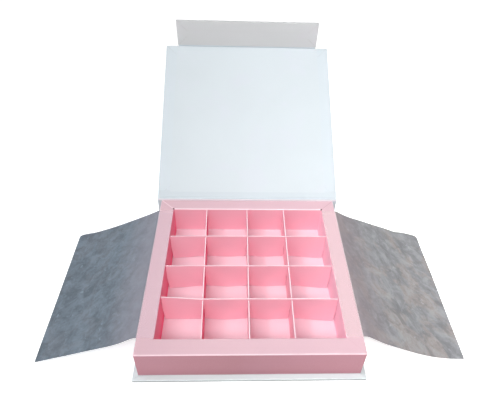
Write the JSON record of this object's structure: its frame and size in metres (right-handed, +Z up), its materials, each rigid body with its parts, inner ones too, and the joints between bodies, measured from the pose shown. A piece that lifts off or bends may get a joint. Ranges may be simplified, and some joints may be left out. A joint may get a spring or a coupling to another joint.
{
  "type": "flip-top box",
  "caption": "Square rigid flip-top gift box, open, with magnetic front flap, folded card tray, grid of slotted dividers and two side cover sheets.",
  "frame": {"origin": "on the table plane under the middle of the tray, in the base panel's underside", "axes": "+Z up, +Y from the open front to the spine, +X to the right as seen from the front"},
  "size_m": [0.3378, 0.3329, 0.1513],
  "materials": {
    "greyboard": "raw grey board",
    "white_paper": "white coated wrapping paper, satin",
    "lining_paper": "smooth white lining paper",
    "pink_card": "smooth pink card, matt",
    "divider_card": "smooth pink card, matt",
    "vellum": "mottled translucent paper",
    "magnet_steel": "plated disc magnet"
  },
  "bodies": {
    "root": {"base_board": "greyboard", "base_wrap": "white_paper", "spine_board": "greyboard", "spine_wrap": "white_paper", "tray": "pink_card", "cross_divider_1": "divider_card", "cross_divider_2": "divider_card", "cross_divider_3": "divider_card", "long_divider_1": "divider_card", "long_divider_2": "divider_card", "long_divider_3": "divider_card", "left_glued_strip": "vellum", "right_glued_strip": "vellum", "left_tray_magnet": "magnet_steel", "right_tray_magnet": "magnet_steel"},
    "lid": {"lid_board": "greyboard", "lid_wrap": "white_paper", "lid_liner": "lining_paper"},
    "flap": {"flap_board": "greyboard", "flap_wrap": "white_paper", "flap_liner": "lining_paper", "left_flap_magnet": "magnet_steel", "right_flap_magnet": "magnet_steel"},
    "left_wing": {"left_sheet": "vellum"},
    "right_wing": {"right_sheet": "vellum"}
  },
  "joints": [
    {"name": "lid_hinge", "type": "hinge", "parent": "root", "child": "lid", "pos_m": [0, 0.08875, 0.0326], "axis": [1, 0, 0], "range_deg": [-30.5, 149.5]},
    {"name": "flap_hinge", "type": "hinge", "parent": "lid", "child": "flap", "pos_m": [0, 0.24332, 0.12051], "axis": [1, 0, 0], "range_deg": [-66, 24]},
    {"name": "left_sheet_fold", "type": "hinge", "parent": "root", "child": "left_wing", "pos_m": [-0.0853, 0, 0.0318], "axis": [0, 1, 0], "range_deg": [0, 201.37]},
    {"name": "right_sheet_fold", "type": "hinge", "parent": "root", "child": "right_wing", "pos_m": [0.0853, 0, 0.0318], "axis": [0, -1, 0], "range_deg": [0, 199.78]}
  ]
}
